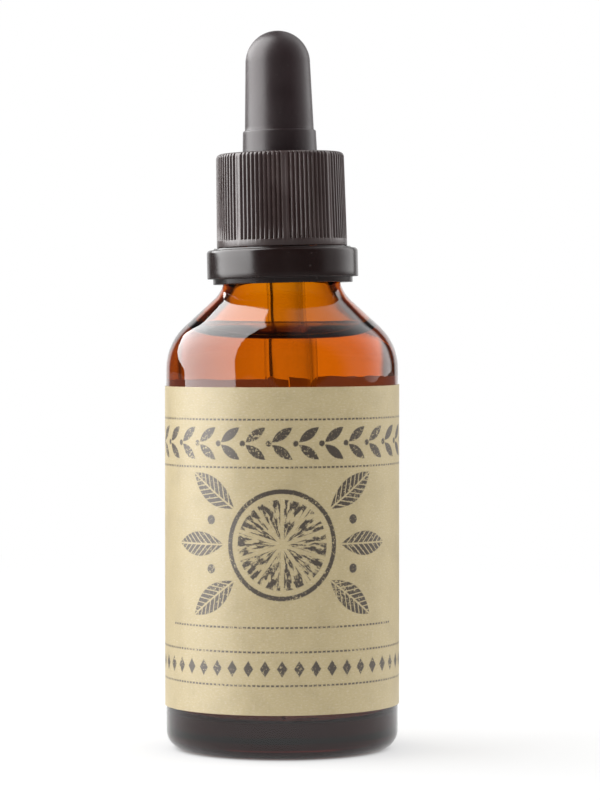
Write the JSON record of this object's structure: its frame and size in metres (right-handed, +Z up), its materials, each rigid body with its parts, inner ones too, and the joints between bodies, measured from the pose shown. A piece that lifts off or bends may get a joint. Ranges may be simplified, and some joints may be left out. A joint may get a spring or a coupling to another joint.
{
  "type": "dropper bottle",
  "caption": "Round amber glass bitters bottle with a paper label, ribbed screw cap, break-away ring, rubber teat and glass pipette that lifts out.",
  "frame": {"origin": "centre of the foot, on the surface that the bottle stands on", "axes": "+Z up along the bottle's axis, -Y out of the front of the label"},
  "size_m": [0.0374, 0.0374, 0.1145],
  "materials": {
    "amber_glass": "polished",
    "label_paper": "matte",
    "bitters": "gloss",
    "dark_plastic": "satin",
    "teat_rubber": "satin",
    "clear_glass": "polished"
  },
  "bodies": {
    "bottle": {"glass_bottle": "amber_glass", "paper_label": "label_paper", "bitters_fill": "bitters"},
    "tamper_ring": {"tamper_ring": "dark_plastic"},
    "dropper": {"glass_pipette": "clear_glass", "pipette_dose": "bitters"},
    "cap": {"screw_cap": "dark_plastic"},
    "teat": {"rubber_teat": "teat_rubber"}
  },
  "joints": [
    {"name": "cap_turn", "type": "hinge", "parent": "bottle", "child": "tamper_ring", "pos_m": [0, 0, 0.077], "axis": [0, 0, 1], "range_deg": [0, 540]},
    {"name": "dropper_lift", "type": "slide", "parent": "tamper_ring", "child": "dropper", "axis": [0, 0, 1], "range_m": [0, 0.088]},
    {"name": "cap_rise", "type": "slide", "parent": "dropper", "child": "cap", "axis": [0, 0, 1], "range_m": [0, 0.0045]},
    {"name": "teat_squeeze", "type": "slide", "parent": "dropper", "child": "teat", "axis": [0, 0, -1], "range_m": [0, 0.004], "stiffness_N_per_m": 600, "deforming": ["rubber_teat"]}
  ],
  "couplings": [
    {"joint": "cap_rise", "follows": "cap_turn", "m_per_rad": 0.00047746}
  ]
}
